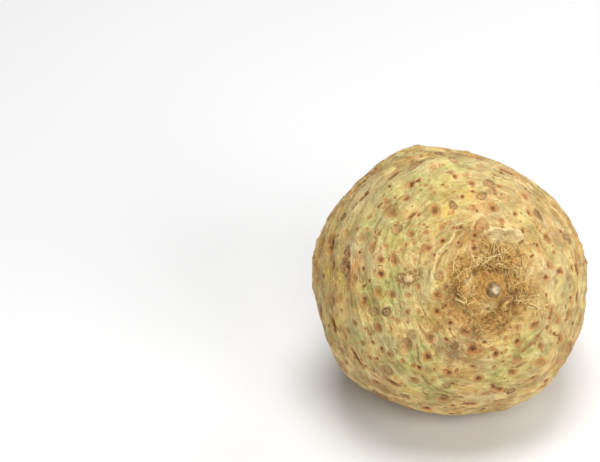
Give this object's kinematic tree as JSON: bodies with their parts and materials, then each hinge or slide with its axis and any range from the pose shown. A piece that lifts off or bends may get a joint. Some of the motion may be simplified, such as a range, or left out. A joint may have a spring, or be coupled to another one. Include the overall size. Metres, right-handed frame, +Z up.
{
  "type": "celeriac root",
  "caption": "Trimmed celeriac root lying on its flank: a knobbly round swelling with side-root scars, a dished root end with stub and rootlets, and cut leaf stalk bases.",
  "frame": {"origin": "on the table, under the middle of the root's box", "axes": "+Z up; the root end with its stub looks towards -Y, a little to +X and 32 degrees up; the cut crown is at the back, low down"},
  "size_m": [0.1164, 0.1114, 0.1126],
  "materials": {
    "celeriac_skin": "matte"
  },
  "bodies": {
    "root": {"celeriac_root": "celeriac_skin"}
  },
  "joints": []
}
